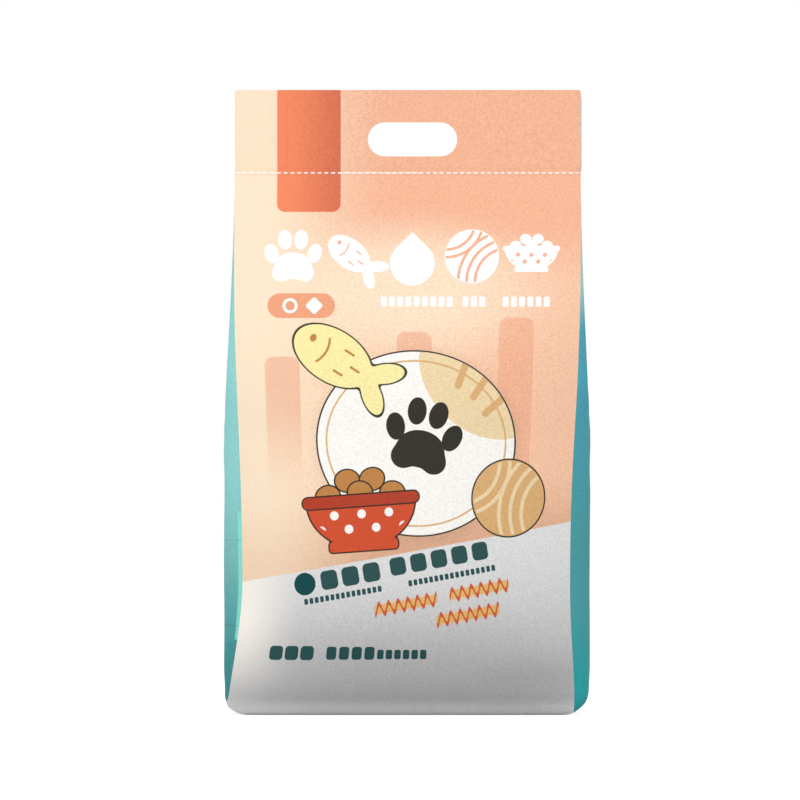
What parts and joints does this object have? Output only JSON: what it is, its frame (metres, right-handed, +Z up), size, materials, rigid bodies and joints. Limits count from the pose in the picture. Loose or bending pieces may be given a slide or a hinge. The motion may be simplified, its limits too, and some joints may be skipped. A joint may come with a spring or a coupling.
{
  "type": "cat litter bag",
  "caption": "Full side-gusset film bag of clumping litter, standing on its foot, with a flat sealed header and a die-cut hand slot.",
  "frame": {"origin": "middle of the foot, on the floor that the bag stands on", "axes": "+Z up towards the header, +X to the right seen from the front, and the printed front faces -Y"},
  "size_m": [0.311, 0.1539, 0.53],
  "materials": {
    "laminated_film": "matt laminated film, printed peach over a stone grey foot, with teal gussets"
  },
  "bodies": {
    "root": {"litter_bag": "laminated_film"}
  },
  "joints": []
}
